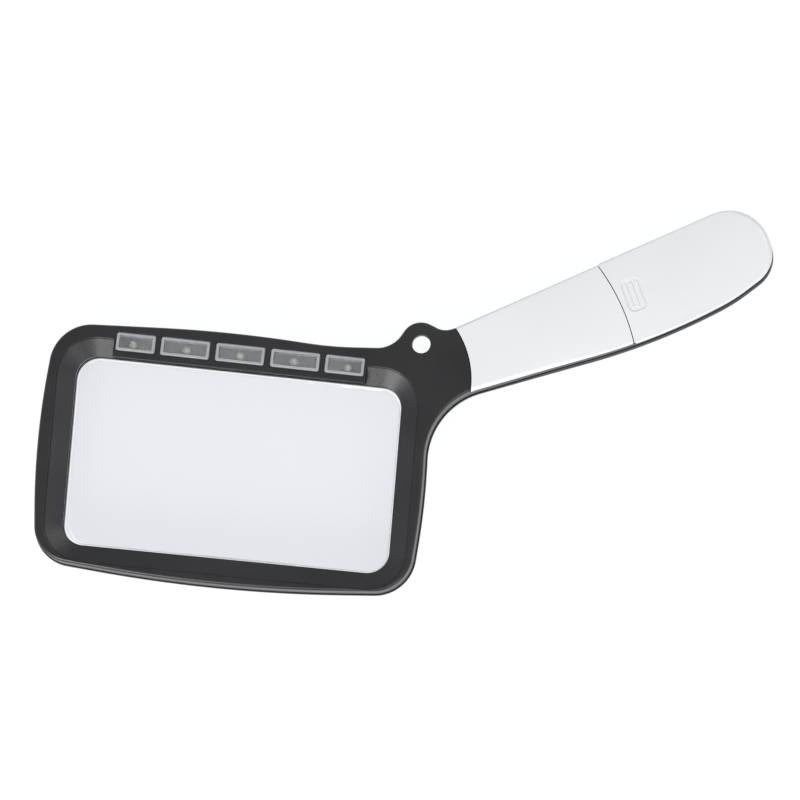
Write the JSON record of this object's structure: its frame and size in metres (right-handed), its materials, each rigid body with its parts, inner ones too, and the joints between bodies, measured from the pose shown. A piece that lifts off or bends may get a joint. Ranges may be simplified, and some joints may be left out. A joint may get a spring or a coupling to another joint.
{
  "type": "magnifying glass",
  "caption": "Hand-held rectangular page magnifier with a light bar along one long side, a lanyard lug and a cranked handle that ends in a sliding battery door.",
  "frame": {"origin": "middle of the bottom of the bounding box, on the plane that the viewer-side rim rests on", "axes": "+X along the lens towards the handle, +Y towards the light bar, +Z out of the page-side face, which carries the lights"},
  "size_m": [0.2352, 0.1396, 0.0184],
  "materials": {
    "black_shell": "fine satin mould texture",
    "pale_cover": "satin, near white",
    "clear_lens": "polished clear acrylic",
    "clear_window": "clear moulding, lightly frosted inside",
    "circuit_board": "solder mask",
    "led_resin": "water-clear resin over a yellow phosphor",
    "dark_part": "moulded",
    "cell_jacket": "printed foil jacket with bare ends",
    "bright_steel": "nickel plated",
    "wire_red": "insulation",
    "wire_black": "insulation"
  },
  "bodies": {
    "housing": {"back_shell": "black_shell", "front_shell": "black_shell", "handle_panel": "pale_cover", "magnifying_lens": "clear_lens", "light_window_strip": "clear_window", "led_board": "circuit_board", "led_1": "led_resin", "led_2": "led_resin", "led_3": "led_resin", "led_4": "led_resin", "led_5": "led_resin", "current_resistor": "dark_part", "switch_body": "dark_part", "battery_1": "cell_jacket", "battery_2": "cell_jacket", "positive_plate": "bright_steel", "negative_plate": "bright_steel", "link_plate": "bright_steel", "negative_spring": "bright_steel", "link_spring": "bright_steel", "housing_screw_1": "bright_steel", "housing_screw_2": "bright_steel", "housing_screw_3": "bright_steel", "housing_screw_4": "bright_steel", "battery_lead": "wire_red", "switched_lead": "wire_red", "return_lead": "wire_black"},
    "battery_door": {"battery_door": "pale_cover"},
    "switch_knob": {"switch_knob": "dark_part", "switch_slider": "dark_part"}
  },
  "joints": [
    {"name": "battery_door_slide", "type": "slide", "parent": "housing", "child": "battery_door", "axis": [0.8712, 0.4909, 0], "range_m": [0, 0.012]},
    {"name": "switch_slide", "type": "slide", "parent": "housing", "child": "switch_knob", "axis": [0.8712, 0.4909, 0], "range_m": [0, 0.002]}
  ]
}
